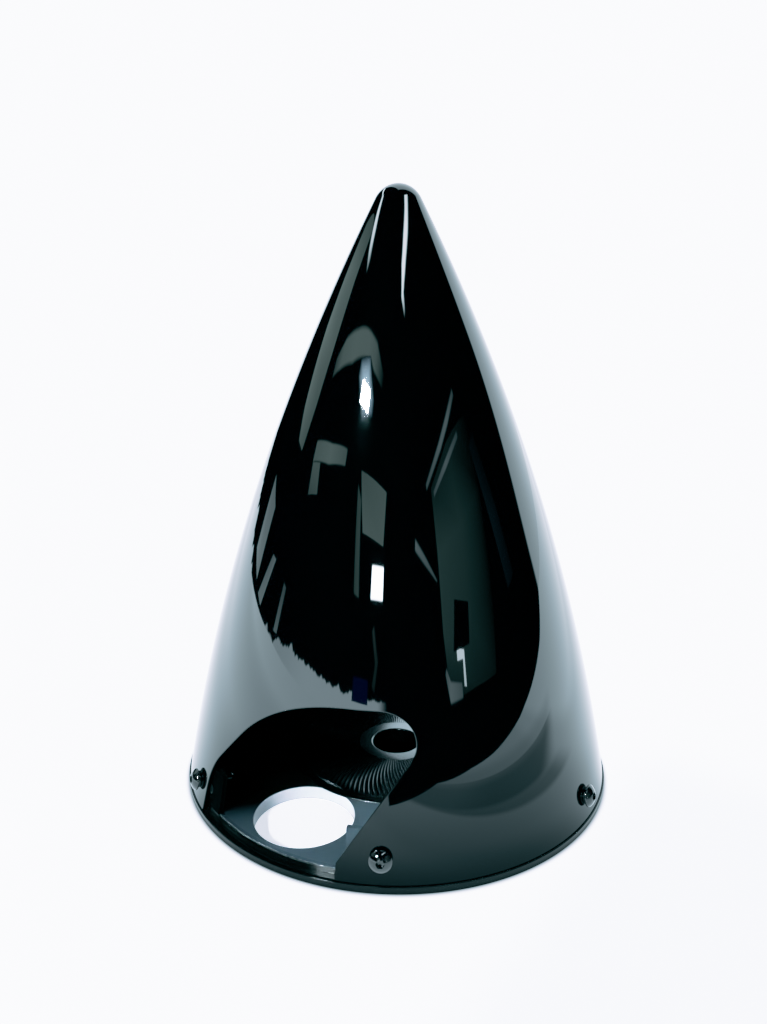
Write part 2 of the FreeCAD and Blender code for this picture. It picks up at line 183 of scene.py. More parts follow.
def roundedEdge(outer, inner, outerNormals, rounding, closed):
    # The wall of a cut through a shell, along matching points on its two faces, with both
    # edges rounded. Returns its rows and where it runs into the outer and the inner face.
    count = len(outer)
    steps = 4
    rows = [[] for _ in range(2 * steps + 2)]
    ends = [[], []]
    for i in range(count):
        before = outer[i - 1] if closed or i > 0 else outer[i]
        after = outer[(i + 1) % count] if closed or i < count - 1 else outer[i]
        along = (after - before).normalized()
        depth = (inner[i] - outer[i]).normalized()
        normal = outerNormals[i]
        into = normal.cross(along).normalized()
        away = along.cross(depth).normalized()
        away = -away if away.dot(into) > 0 else away
        slope = (outer[i] + into * rounding, inner[i] + into * rounding)
        for step in range(steps + 1):
            t = step / steps
            place = bezier(slope[0], outer[i], outer[i] + depth * rounding, t)
            rows[step].append((place, normal.lerp(away, t)))
            place = bezier(inner[i] - depth * rounding, inner[i], slope[1], t)
            rows[steps + 1 + step].append((place, away.lerp(-normal, t)))
        ends[0].append(slope[0])
        ends[1].append(slope[1])
    return rows, ends


def arcPoints(centre, radius, start, end, spacing):
    steps = max(2, round(abs(math.radians(end - start)) * radius / spacing))
    angles = [math.radians(start + (end - start) * i / steps) for i in range(steps + 1)]
    return [(centre[0] + radius * math.cos(a), centre[1] + radius * math.sin(a)) for a in angles]


def linePoints(start, end, spacing):
    steps = max(1, round(math.dist(start, end) / spacing))
    share = [i / steps for i in range(steps + 1)]
    return [(start[0] + (end[0] - start[0]) * s, start[1] + (end[1] - start[1]) * s) for s in share]


cutOut = {
    "top": 68.4,
    "reach": 54.5,  # how far its upper corner lies to the right
    "cornerRadius": 14.0,
    "rake": 62.2,  # degrees of the straight side under that corner
    "footRight": 33.0,
    "crownStart": 30.0,
    "crownRadius": 64.0,
    "slope": 48.0,  # degrees of the straight stretch at the left
    "slopeLength": 19.3,
    "heelRadius": 37.0,
    "heelAngle": 80.0,
    "spacing": 1.0,
    "footCorner": 1.2,
}


def cutOutOutline(low):
    # From the left foot, up over the crown and down to the right foot, as the blade sees it.
    c = cutOut
    top = c["top"]
    rake = math.radians(c["rake"])
    corner = (c["reach"] - c["cornerRadius"], top - c["cornerRadius"])
    rakeTop = (corner[0] + c["cornerRadius"] * math.sin(rake),
               corner[1] - c["cornerRadius"] * math.cos(rake))
    step = rakeTop[1] - (rakeTop[0] - c["footRight"]) * math.tan(rake)
    crown = (c["crownStart"], top - c["crownRadius"])
    slope = math.radians(c["slope"])
    crownEnd = (crown[0] - c["crownRadius"] * math.sin(slope),
                crown[1] + c["crownRadius"] * math.cos(slope))
    slopeEnd = (crownEnd[0] - c["slopeLength"] * math.cos(slope),
                crownEnd[1] - c["slopeLength"] * math.sin(slope))
    heel = (slopeEnd[0] + c["heelRadius"] * math.sin(slope),
            slopeEnd[1] - c["heelRadius"] * math.cos(slope))
    heelEnd = math.radians(c["heelAngle"])
    heelFoot = (heel[0] - c["heelRadius"] * math.sin(heelEnd),
                heel[1] + c["heelRadius"] * math.cos(heelEnd))
    foot = (heelFoot[0] - (heelFoot[1] - low) / math.tan(heelEnd), low)
    gap = c["spacing"]
    stretches = [
        linePoints(foot, heelFoot, gap),
        arcPoints(heel, c["heelRadius"], 90 + c["heelAngle"], 90 + c["slope"], gap),
        linePoints(slopeEnd, crownEnd, gap),
        arcPoints(crown, c["crownRadius"], 90 + c["slope"], 90, gap),
        linePoints((c["crownStart"], top), (corner[0], top), gap),
        arcPoints(corner, c["cornerRadius"], 90, c["rake"] - 90, gap),
        linePoints(rakeTop, (c["footRight"], step), gap),
        linePoints((c["footRight"], step), (c["footRight"], low), gap),
    ]
    outline = [stretches[0][0]]
    for stretch in stretches:
        outline.extend(stretch[1:])
    return outline


def onWall(x, z, depth):
    # The point of a wall face straight behind x and z, as the blade at -Y sees it.
    radius = ogiveRadiusAt(z, depth)
    return Vector((x, -math.sqrt(radius ** 2 - x ** 2), z))


def footAndCut(start, end):
    # One half of the shell's lower edge, from azimuth start to end, round its cut-out.
    foot = shell["foot"]
    wall = shell["wall"]
    outline = cutOutOutline(foot)
    cut = [(onWall(x, z, 0.0), onWall(x, z, wall)) for x, z in outline]
    left = math.atan2(cut[0][0].y, cut[0][0].x)
    right = math.atan2(cut[-1][0].y, cut[-1][0].x)

    def run(first, last):
        steps = round(abs(last - first) * shell["rimRadius"] / shell["spacing"])
        angles = [first + (last - first) * i / steps for i in range(steps + 1)]
        return [(ogivePoint(a, foot), ogivePoint(a, foot, wall)) for a in angles]

    def corner(before, at, after):
        pairs = []
        steps = 4
        for step in range(steps + 1):
            t = step / steps
            pairs.append(tuple(bezier(before[side], at[side], after[side], t) for side in (0, 1)))
        return pairs

    gap = cutOut["footCorner"]
    turn = gap / shell["rimRadius"]
    cutInner = [pair for pair in cut[1:-1] if pair[0].z > foot + gap]
    leftFoot = run(math.radians(start), left - turn)
    rightFoot = run(right + turn, math.radians(end))
    edge = leftFoot[:-1] + corner(leftFoot[-1], cut[0], cutInner[0]) + cutInner[1:-1]
    edge += corner(cutInner[-1], cut[-1], rightFoot[0]) + rightFoot[1:]
    return [pair[0] for pair in edge], [pair[1] for pair in edge]


screw = {
    "count": 6,
    "height": 13.4,  # of its axis where it passes through the shell's face
    "shankRadius": 2.5,
    "holeGap": 0.25,
    "reach": 14.7,
    "tipInset": 0.5,
    "tipLength": 0.8,
    "headRadius": 4.7,
    "headHeight": 2.9,
    "headEdge": 0.8,  # height of the head's upright side
    "headRound": 0.25,
    "domeDrop": 0.15,
    "domeInset": 0.06,
    "domeSteps": 10,
    "socketRadius": 1.75,
    "socketDepth": 1.6,
    "socketLip": 0.12,
    "socketRing": 0.35,
    "socketSink": 0.2,
    "socketCone": 0.5,
    "steps": 48,
    "holeSteps": 32,
    "slot": "black_screw",
}


def screwHole(azimuth):
    # Clockwise as seen from outside, so that the wall lies on its left.
    middle = math.radians(azimuth)
    axis = ogiveNormal(middle, screw["height"])
    side = Vector((-math.sin(middle), math.cos(middle), 0.0))
    up = axis.cross(side)
    centre = ogivePoint(middle, screw["height"])
    radius = screw["shankRadius"] + screw["holeGap"]
    faces = ([], [])
    for i in range(screw["holeSteps"]):
        angle = -2 * math.pi * i / screw["holeSteps"]
        spot = centre + side * (radius * math.cos(angle)) + up * (radius * math.sin(angle))
        for depth, points in zip((0.0, shell["wall"]), faces):
            place = spot - axis * depth
            for _ in range(4):  # closer to the curved face each time
                miss = math.hypot(place.x, place.y) - ogiveRadiusAt(place.z, depth)
                place = place - axis * miss
            points.append(place)
    return faces


def makeShell():
    surface = Surface()
    foot = shell["foot"]
    wall = shell["wall"]
    start = bladeAzimuth - halfTurn * 2 / 3
    end = start + halfTurn
    loops = {0.0: [], wall: []}

    def addCut(outer, inner, rounding, closed):
        normals = [ogiveNormal(math.atan2(p.y, p.x), p.z) for p in outer]
        rows, ends = roundedEdge(outer, inner, normals, rounding, closed)
        for turn in (0.0, halfTurn):
            numbers = [[surface.point(turned(p, turn), turned(n, turn)) for p, n in row]
                       for row in rows]
            surface.strip(numbers, closed)
        return ends

    def unrolled(points):
        # Azimuth as a length, and height.
        flat = []
        for p in points:
            azimuth = math.degrees(math.atan2(p.y, p.x))
            while azimuth < start - 1:
                azimuth += fullTurn
            while azimuth > end + 1:
                azimuth -= fullTurn
            flat.append((math.radians(azimuth) * shell["rimRadius"], p.z))
        return flat

    cuts = [(*footAndCut(start, end), shell["edgeRound"], False)]
    pitch = fullTurn / screw["count"]
    for number in range(screw["count"] // 2):
        cuts.append((*screwHole(start + pitch * (number + 0.5)), shell["holeRound"], True))
    for outer, inner, rounding, closed in cuts:
        ends = addCut(outer, inner, rounding, closed)
        for depth, points in zip((0.0, wall), ends):
            loops[depth].append(points)

    # Both faces of the band between the foot and bandTop, one half and its twin.
    top = shell["bandTop"]
    width = math.radians(halfTurn) * shell["rimRadius"]
    columns = round(width / shell["spacing"])
    first = math.radians(start) * shell["rimRadius"]
    for depth, face in loops.items():
        sign = 1.0 if depth == 0.0 else -1.0
        edges = [unrolled(points) for points in face]
        places = {}
        for flat, points in zip(edges, face):
            for spot, p in zip(flat, points):
                places[spot] = p
        rows = round((top - foot) / shell["spacing"])
        low = edges[0][0][1]
        crest = [(first + width * i / columns, top) for i in range(columns + 1)]
        sideHeights = [low + (top - low) * i / rows for i in range(1, rows)]
        rightSide = [(first + width, z) for z in sideHeights]
        leftSide = [(first, z) for z in sideHeights]
        edges[0][0] = (first, edges[0][0][1])
        edges[0][-1] = (first + width, edges[0][-1][1])
        places[edges[0][0]] = face[0][0]
        places[edges[0][-1]] = face[0][-1]
        border = edges[0] + rightSide + crest[::-1] + leftSide[::-1]
        bounds = [border] + edges[1:]
        keepOut = shell["spacing"] * shell["edgeRoom"]
        near = [p for loop in bounds for p in loop]
        grid = []
        for i in range(1, columns):
            for row, z in enumerate(sideHeights):
                x = first + width * (i + 0.5 * (row % 2)) / columns
                if insideLoops(x, z, bounds) and all(math.dist((x, z), p) > keepOut for p in near):
                    grid.append((x, z))
        points, triangles = fillLoops(bounds, grid)
        for turn in (0.0, halfTurn):
            numbers = []
            for spot in points:
                azimuth = spot[0] / shell["rimRadius"]
                place = places.get(spot) or ogivePoint(azimuth, spot[1], depth)
                normal = ogiveNormal(azimuth, spot[1], depth) * sign
                numbers.append(surface.point(turned(place, turn), turned(normal, turn)))
            for corners in triangles:
                surface.face([numbers[c] for c in corners])

        # From bandTop to the pole: the rest of the ogive, then the small round nose.
        noseRadius = shell["noseRadius"] - depth
        lean = math.acos(-ogiveX / noseReach)
        profile = []
        steps = shell["ogiveRings"]
        joint = noseZ + noseRadius * math.sin(lean)
        for i in range(steps + 1):
            z = top + (joint - top) * i / steps
            profile.append((ogiveRadiusAt(z, depth), z, (z - ogiveZ) / (shell["ogiveRadius"] - depth)))
        steps = shell["noseRings"]
        for i in range(1, steps + 1):
            angle = lean + (math.pi / 2 - lean) * i / steps
            profile.append((noseRadius * math.cos(angle), noseZ + noseRadius * math.sin(angle),
                            math.sin(angle)))
        rings = []
        for radius, z, lift in profile:
            ring = []
            out = math.sqrt(max(0.0, 1 - lift ** 2))
            for i in range(2 * columns):
                azimuth = (first + width * i / columns) / shell["rimRadius"]
                c, s = math.cos(azimuth), math.sin(azimuth)
                normal = Vector((out * c, out * s, lift)) * sign
                ring.append(surface.point((radius * c, radius * s, z), normal))
            rings.append(ring)
        surface.strip(rings, closed=True)
    return surface.build("shell_skin")


def roundOff(corners, closed=True, steps=4):
    # Corners (x, y, rounding) become points with outward normals, for a profile that runs
    # anticlockwise.
    count = len(corners)
    points = []
    for i, (x, y, rounding) in enumerate(corners):
        here = Vector((x, y))
        before = Vector(corners[i - 1][:2]) if closed or i > 0 else None
        after = Vector(corners[(i + 1) % count][:2]) if closed or i < count - 1 else None
        normals = []
        for a, b in ((before, here), (here, after)):
            if a is not None and b is not None:
                along = (b - a).normalized()
                normals.append(Vector((along.y, -along.x)))
        if len(normals) == 1:
            points.append((here, normals[0]))
            continue
        first = here + (before - here).normalized() * rounding
        last = here + (after - here).normalized() * rounding
        for step in range(steps + 1):
            t = step / steps
            points.append((bezier(first, here, last, t), normals[0].lerp(normals[1], t)))
    return points


def revolve(surface, profile, steps, closed=True):
    rows = []
    for i in range(steps):
        angle = 2 * math.pi * i / steps
        c, s = math.cos(angle), math.sin(angle)
        rows.append([surface.point((p.x * c, p.x * s, p.y), (n.x * c, n.x * s, n.y))
                     for p, n in profile])
    rows.append(rows[0])
    surface.strip(rows, closed)


def sector(surface, profile, start, end, rounding):
    # A closed profile swept from one azimuth to another, with rounded ends.
    steps = max(2, round(abs(end - start)))
    radius = sum(p.x for p, _ in profile) / len(profile)
    turn = math.degrees(rounding / radius)
    rows = []
    roundSteps = 4

    def row(azimuth, inset, lean, side):
        angle = math.radians(azimuth)
        c, s = math.cos(angle), math.sin(angle)
        numbers = []
        for p, n in profile:
            place = p - n * inset
            across = Vector((n.x * c, n.x * s, n.y)) * math.cos(lean)
            along = Vector((-s, c, 0.0)) * (side * math.sin(lean))
            numbers.append(surface.point((place.x * c, place.x * s, place.y), across + along))
        return numbers

    for i in range(roundSteps):
        lean = math.pi / 2 * (1 - i / roundSteps)
        azimuth = start + turn * (1 - math.sin(lean))
        rows.append(row(azimuth, rounding * (1 - math.cos(lean)), lean, -1.0))
    for i in range(steps + 1):
        rows.append(row(start + turn + (end - start - 2 * turn) * i / steps, 0.0, 0.0, 1.0))
    for i in range(1, roundSteps + 1):
        lean = math.pi / 2 * i / roundSteps
        azimuth = end - turn * (1 - math.sin(lean))
        rows.append(row(azimuth, rounding * (1 - math.cos(lean)), lean, 1.0))
    surface.strip(rows, closed=True)
    surface.face(rows[0])
    surface.face(rows[-1])


plate = {
    "rimRadius": 100.0,
    "rimHeight": 3.3,
    "thickness": 6.0,
    "edgeRound": 0.35,
    "rimRound": 0.45,
    "stepRadius": 95.6,
    "pilotHole": 17.1,
    "seatGap": 0.3,
    "flangeThickness": 2.2,
    "flangeTop": 23.0,
    "flangeSink": 0.2,  # how far it starts inside the ledge
    "flangeRound": 0.2,
    "trimLeft": 18.5,  # degrees from the blade's axis to the flange's end
    "trimRight": 21.5,
    "lighteningRadius": 21.4,
    "lighteningOffset": 71.0,
    "rimSteps": 360,
    "pilotSteps": 96,
    "lighteningSteps": 128,
    "slot": "dark_plate",
}


def flangeRadius(height, depth):
    # The flange is a straight line in section, square to the screws.
    rise = screw["height"] - ogiveZ
    run = math.sqrt(shell["ogiveRadius"] ** 2 - rise ** 2)
    above = (height - screw["height"]) * rise
    return ogiveRadiusAt(screw["height"]) - (depth * shell["ogiveRadius"] + above) / run


def ringLoop(x, y, radius, steps, clockwise=False):
    sign = -1 if clockwise else 1
    angles = [sign * 2 * math.pi * i / steps for i in range(steps)]
    return [(x + radius * math.cos(a), y + radius * math.sin(a)) for a in angles]


def makeBackplate():
    surface = Surface()
    p = plate
    edge = p["edgeRound"]
    top = p["thickness"]
    steps = p["rimSteps"]
    lead = 2.0  # from an outline's helper end to its first corner
    side = roundOff([
        (p["stepRadius"] - lead, 0, 0), (p["rimRadius"], 0, p["rimRound"]),
        (p["rimRadius"], p["rimHeight"], edge), (p["stepRadius"], p["rimHeight"], edge),
        (p["stepRadius"], top, edge), (p["stepRadius"] - lead, top, 0)], closed=False)[1:-1]
    revolve(surface, side, steps, closed=False)
    outerLoops = {top: ringLoop(0, 0, side[-1][0].x, steps), 0.0: ringLoop(0, 0, side[0][0].x, steps)}
    bores = [(0.0, 0.0, p["pilotHole"], p["pilotSteps"])]
    for sign in (-1, 1):
        bores.append((0.0, sign * p["lighteningOffset"], p["lighteningRadius"], p["lighteningSteps"]))
    for height, outer in outerLoops.items():
        up = Vector((0, 0, 1 if height else -1))
        loops = [outer] + [ringLoop(x, y, radius + edge, count) for x, y, radius, count in bores]
        points, triangles = fillLoops(loops, [])
        numbers = [surface.point((x, y, height), up) for x, y in points]
        for corners in triangles:
            surface.face([numbers[c] for c in corners])
    for x, y, radius, count in bores:
        wall = roundOff([(radius + lead, top, 0), (radius, top, edge), (radius, 0, edge),
                         (radius + lead, 0, 0)], closed=False)[1:-1]
        rows = []
        for i in range(count):
            angle = 2 * math.pi * i / count
            c, s = math.cos(angle), math.sin(angle)
            rows.append([surface.point((x + q.x * c, y + q.x * s, q.y), (n.x * c, n.x * s, n.y))
                         for q, n in wall])
        rows.append(rows[0])
        surface.strip(rows)

    outer = shell["wall"] + p["seatGap"]
    inner = outer + p["flangeThickness"]
    low = p["rimHeight"] - p["flangeSink"]
    small = p["flangeRound"]
    profile = roundOff([
        (flangeRadius(low, inner), low, small), (flangeRadius(low, outer), low, small),
        (flangeRadius(p["flangeTop"], outer), p["flangeTop"], edge),
        (flangeRadius(p["flangeTop"], inner), p["flangeTop"], edge)])
    for turn in (0.0, halfTurn):
        start = bladeAzimuth + p["trimRight"] + turn
        end = bladeAzimuth + halfTurn - p["trimLeft"] + turn
        sector(surface, profile, start, end, small)
    return surface.build("plate_skin")


hub = {
    "bore": 11.5,
    "pilotRadius": 17.0,
    "radius": 51.0,
    "height": 2.0,
    "edge": 0.6,
    "edgeRound": 0.3,
    "seatRound": 0.05,
    "boreRound": 0.6,
    "ribCount": 120,
    "ribInner": 18.0,
    "ribOuter": 46.5,
    "ribTwist": 9.4,  # degrees that a rib turns on its way out
    "ribBend": 47.5,  # radius of its curve
    "ribCrest": 0.12,  # the flat back's share of a tooth
    "ribSlope": 43.0,
    "ribDepth": 1.2,
    "ribOverlap": 0.5,  # how far it starts inside the flat ring
    "ribSink": 0.05,
    "ribDip": 0.35,  # at the outer end
    "dipShare": 0.07,
    "ribSteps": 14,
    "valleyGap": 0.4,
    "slot": "hub_metal",
}


def makeHubDisc():
    surface = Surface()
    h = hub
    plateTop = plate["thickness"]
    top = plateTop + h["height"]
    floor = top - h["ribDepth"]
    edge = h["edgeRound"]
    profile = roundOff([
        (h["bore"], 0, edge), (h["pilotRadius"], 0, edge), (h["pilotRadius"], plateTop, h["seatRound"]),
        (h["radius"], plateTop, h["seatRound"]), (h["radius"], plateTop + h["edge"], edge),
        (h["ribOuter"] + h["valleyGap"], floor, edge), (h["ribInner"], floor, edge),
        (h["ribInner"], top, edge), (h["bore"], top, h["boreRound"])])
    revolve(surface, profile, 240)
    return surface.build("hub_disc_skin")


def makeRib():
    # One curved tooth with two sloping sides, from the flat ring out to the disc's edge.
    h = hub
    surface = Surface()
    top = plate["thickness"] + h["height"]
    under = top - h["ribDepth"] - h["ribSink"]
    twist = math.radians(h["ribTwist"])
    last = Vector((h["ribOuter"] * math.cos(twist), h["ribOuter"] * math.sin(twist)))
    first = Vector((h["ribInner"] - h["ribOverlap"], 0.0))
    chord = last - first
    middle = (first + last) / 2
    left = Vector((-chord.y, chord.x)).normalized()
    centre = middle + left * math.sqrt(h["ribBend"] ** 2 - chord.length ** 2 / 4)
    spread = 2 * math.asin(chord.length / 2 / h["ribBend"])
    begin = math.atan2(first.y - centre.y, first.x - centre.x)
    slope = math.tan(math.radians(h["ribSlope"]))
    rows = []
    for i in range(h["ribSteps"] + 1):
        share = i / h["ribSteps"]
        out = Vector((math.cos(begin + spread * share), math.sin(begin + spread * share)))
        spot = centre + out * h["ribBend"]
        half = math.pi * spot.length / h["ribCount"]
        crest = h["ribCrest"] * half
        ridge = top - h["ribDip"] * max(0.0, 1 - (1 - share) / h["dipShare"])
        valley = max(ridge - (half - crest) * slope, under + 0.02)  # a rib's side never closes up
        row = []
        for offset, height in ((half, under), (half, valley), (crest, ridge), (-crest, ridge),
                               (-half, valley), (-half, under)):
            place = spot + out * offset
            row.append(surface.point((place.x, place.y, height), (0, 0, 1)))
        rows.append(row)
    surface.strip(rows, closed=True)
    surface.face(rows[0][::-1])
    surface.face(rows[-1])
    return surface.plain("ribs")


def repeatTree():
    tree = bpy.data.node_groups.new("Repeat about the axis", "GeometryNodeTree")
    sockets = (("Geometry", "INPUT", "NodeSocketGeometry"), ("Count", "INPUT", "NodeSocketInt"),
               ("Start", "INPUT", "NodeSocketFloat"), ("Material", "INPUT", "NodeSocketMaterial"),
               ("Geometry", "OUTPUT", "NodeSocketGeometry"))
    for name, direction, kind in sockets:
        tree.interface.new_socket(name=name, in_out=direction, socket_type=kind)
    nodes = tree.nodes
    links = tree.links
    given = nodes.new("NodeGroupInput")
    points = nodes.new("GeometryNodePoints")
    number = nodes.new("GeometryNodeInputIndex")
    turn = nodes.new("ShaderNodeMath")
    turn.operation = "DIVIDE"
    turn.inputs[0].default_value = 2 * math.pi
    place = nodes.new("ShaderNodeMath")
    place.operation = "MULTIPLY_ADD"
    rotation = nodes.new("ShaderNodeCombineXYZ")
    instances = nodes.new("GeometryNodeInstanceOnPoints")
    realize = nodes.new("GeometryNodeRealizeInstances")
    paint = nodes.new("GeometryNodeSetMaterial")
    result = nodes.new("NodeGroupOutput")
    links.new(given.outputs["Count"], points.inputs["Count"])
    links.new(given.outputs["Count"], turn.inputs[1])
    links.new(number.outputs[0], place.inputs[0])
    links.new(turn.outputs[0], place.inputs[1])
    links.new(given.outputs["Start"], place.inputs[2])
    links.new(place.outputs[0], rotation.inputs["Z"])
    links.new(points.outputs[0], instances.inputs["Points"])
    links.new(given.outputs["Geometry"], instances.inputs["Instance"])
    links.new(rotation.outputs[0], instances.inputs["Rotation"])
    links.new(instances.outputs[0], realize.inputs[0])
    links.new(realize.outputs[0], paint.inputs["Geometry"])
    links.new(given.outputs["Material"], paint.inputs["Material"])
    links.new(paint.outputs[0], result.inputs[0])
    return tree


def repeatAround(piece, tree, count, material):
    modifier = piece.modifiers.new("repeat", "NODES")
    modifier.node_group = tree
    values = {"Count": count, "Start": 0.0, "Material": material}
    for item in tree.interface.items_tree:
        if item.in_out == "INPUT" and item.name in values:
            modifier[item.identifier] = values[item.name]
    depsgraph = bpy.context.evaluated_depsgraph_get()
    plain = bpy.data.meshes.new_from_object(piece.evaluated_get(depsgraph))
    piece.modifiers.remove(modifier)
    piece.data = plain
    if not plain.materials:
        plain.materials.append(material)
    return piece


def moveToScrew(piece):
    # From the screw's own axis, with z as the height above the shell, to the screw over +X.
    axis = ogiveNormal(0.0, screw["height"])
    side = Vector((0.0, 1.0, 0.0))
    up = axis.cross(side)
    centre = ogivePoint(0.0, screw["height"]) * metresPerUnit
    for vertex in piece.data.vertices:
        p = vertex.co.copy()
        vertex.co = centre + axis * p.z + side * p.x + up * p.y


def smoothByAngle(piece, degrees):
    piece.data.shade_smooth()
    piece.data.set_sharp_from_angle(angle=math.radians(degrees))


def makeScrew():
    s = screw
    seat = washer["thickness"]
    top = seat + s["headHeight"]
    crown = s["headHeight"] - s["headEdge"]
    dome = (s["headRadius"] ** 2 + crown ** 2) / (2 * crown)
    surface = Surface()
    angles = [2 * math.pi * i / s["steps"] for i in range(s["steps"])]

    def domeHeight(radius):
        return top - dome + math.sqrt(dome ** 2 - radius ** 2)

    def hexagon(angle, size):
        wedge = math.radians(60)
        return size * math.cos(wedge / 2) / math.cos((angle % wedge) - wedge / 2)

    def ring(radii, heights):
        return [surface.point((radius * math.cos(angle), radius * math.sin(angle), height), (0, 0, 1))
                for angle, radius, height in zip(angles, radii, heights)]

    profile = [(0.0, -s["reach"]), (s["shankRadius"] - s["tipInset"], -s["reach"]),
               (s["shankRadius"], -s["reach"] + s["tipLength"]), (s["shankRadius"], seat),
               (s["headRadius"] - s["headRound"], seat), (s["headRadius"], seat + s["headRound"]),
               (s["headRadius"], seat + s["headEdge"] - s["domeDrop"])]
    outer = s["headRadius"] - s["domeInset"]
    inner = s["socketRadius"] + s["socketRing"]
    for i in range(s["domeSteps"] + 1):
        radius = outer - (outer - inner) * i / s["domeSteps"]
        profile.append((radius, domeHeight(radius)))
    rows = [ring([radius] * len(angles), [height] * len(angles)) for radius, height in profile]
    lip = [hexagon(angle, s["socketRadius"] + s["socketLip"]) for angle in angles]
    rows.append(ring(lip, [domeHeight(radius) for radius in lip]))
    for size, drop in ((s["socketRadius"], s["socketLip"]), (s["socketRadius"], s["socketDepth"]),
                       (0.0, s["socketDepth"] + s["socketCone"])):
        rows.append(ring([hexagon(angle, size) for angle in angles],
                         [top - drop - s["socketSink"]] * len(angles)))
    surface.strip(rows, closed=True)
    return surface.plain("screws")


washer = {
    "thickness": 1.2,
    "inner": 2.6,
    "outer": 3.6,
    "innerRound": 0.15,
    "outerRound": 0.3,
    "slot": "black_washer",
}


def makeWasher():
    w = washer
    surface = Surface()
    profile = roundOff([(w["inner"], 0, w["innerRound"]), (w["outer"], 0, w["outerRound"]),
                        (w["outer"], w["thickness"], w["outerRound"]),
                        (w["inner"], w["thickness"], w["innerRound"])])
    revolve(surface, profile, screw["steps"])
    return surface.plain("washers")


def outward(piece):
    work = bmesh.new()
    work.from_mesh(piece.data)
    bmesh.ops.recalc_face_normals(work, faces=work.faces)
    work.to_mesh(piece.data)
    work.free()


def newMaterial(name, **settings):
    material = bpy.data.materials.new(name)
    material.use_nodes = True
    shader = material.node_tree.nodes["Principled BSDF"]
    for socket, value in settings.items():
        shader.inputs[socket.replace("_", " ")].default_value = value
    return material


def mathsIn(tree):
    # Short forms for the nodes of one tree: an operation, a smooth ramp and a distance.
    nodes = tree.nodes
    links = tree.links

    def maths(operation, *values):
        node = nodes.new("ShaderNodeMath")
        node.operation = operation
        for socket, value in zip(node.inputs, values):
            if hasattr(value, "links"):
                links.new(value, socket)
            else:
                socket.default_value = value
        return node.outputs[0]

    def ramp(value, first, last, low=0.0, high=1.0):
        # From low to high while the value goes from first to last.
        node = nodes.new("ShaderNodeMapRange")
        node.interpolation_type = "SMOOTHSTEP"
        links.new(value, node.inputs["Value"])
        node.inputs["From Min"].default_value = min(first, last)
        node.inputs["From Max"].default_value = max(first, last)
        node.inputs["To Min"].default_value = low if first < last else high
        node.inputs["To Max"].default_value = high if first < last else low
        return node.outputs["Result"]

    def distance(a, b):
        return maths("SQRT", maths("ADD", maths("MULTIPLY", a, a), maths("MULTIPLY", b, b)))

    return maths, ramp, distance


def places(tree, kind="Object"):
    # x, y and z at each point, in metres, and the same as one vector.
    place = tree.nodes.new("ShaderNodeTexCoord").outputs[kind]
    split = tree.nodes.new("ShaderNodeSeparateXYZ")
    tree.links.new(place, split.inputs[0])
    return (*split.outputs, place)


def noise(tree, place, scale, detail):
    node = tree.nodes.new("ShaderNodeTexNoise")
    node.inputs["Scale"].default_value = scale
    node.inputs["Detail"].default_value = detail
    tree.links.new(place, node.inputs["Vector"])
    return node.outputs["Fac"]


def scaledColour(tree, colour, scale):
    node = tree.nodes.new("ShaderNodeVectorMath")
    node.operation = "SCALE"
    node.inputs[0].default_value = colour
    tree.links.new(scale, node.inputs["Scale"])
    return node.outputs["Vector"]


def stepColour(tree, value, edge, below, above):
    # One colour below the edge and another above it; returns the colour socket for the next step.
    soft = 0.00015
    step = tree.nodes.new("ShaderNodeMapRange")
    step.inputs["From Min"].default_value = edge - soft
    step.inputs["From Max"].default_value = edge + soft
    mix = tree.nodes.new("ShaderNodeMix")
    mix.data_type = "RGBA"
    for socket, colour in ((mix.inputs[6], below), (mix.inputs[7], above)):
        if hasattr(colour, "links"):
            tree.links.new(colour, socket)
        else:
            socket.default_value = (*colour, 1)
    tree.links.new(value, step.inputs["Value"])
    tree.links.new(step.outputs["Result"], mix.inputs[0])
    return mix.outputs[2]


# How the shell's shine is turned down: painted shade near the foot, on the cut edges and on the inside.
shellShineShade = {
    "gloss": (0.11, 0.5),  # at the foot and from glossTop up, in metres
    "glossTop": 0.062,
    "footShare": 0.42,  # what is left of it at the very foot, below footTop
    "footTop": 0.018,
    "skin": (0.0003, 0.0006),  # how deep it goes over a cut edge
}


def shellShadePaint(material):
    # The shell's shine is duller near the foot, which is painted shade on its reflections, and there is
    # none on the cut edges and the inside, which keeps them black as painted shade.
    tree = material.node_tree
    maths, ramp, distance = mathsIn(tree)
    x, y, height, _ = places(tree)
    fromCentre = maths("SUBTRACT", distance(x, y), ogiveX * metresPerUnit)
    overCentre = maths("SUBTRACT", height, ogiveZ * metresPerUnit)
    reach = distance(fromCentre, overCentre)
    depth = maths("SUBTRACT", shell["ogiveRadius"] * metresPerUnit, reach)
    depth = maths("MULTIPLY", depth, maths("LESS_THAN", height, shell["bandTop"] * metresPerUnit))
    # Painted shade: the shine falls off towards the foot.
    gloss = maths("MULTIPLY", ramp(height, 0.0, shellShineShade["glossTop"], *shellShineShade["gloss"]),
                  ramp(height, 0.0, shellShineShade["footTop"], shellShineShade["footShare"], 1.0))
    gloss = maths("MULTIPLY", gloss, ramp(depth, *shellShineShade["skin"], 1.0, 0.0))
    tree.links.new(gloss, tree.nodes["Principled BSDF"].inputs["Specular IOR Level"])


# The hub's metal colour, with painted shade and light on it: in front it is darker to the left and
# lighter to the right.
hubMetalAndShade = {
    "colour": (0.16, 0.17, 0.175),
    "across": (0.008, 0.021),  # metres over which it turns from dark to light
    "change": (-0.88, 1.0),
    "front": (-0.012, -0.016),  # it changes only in front of this
}


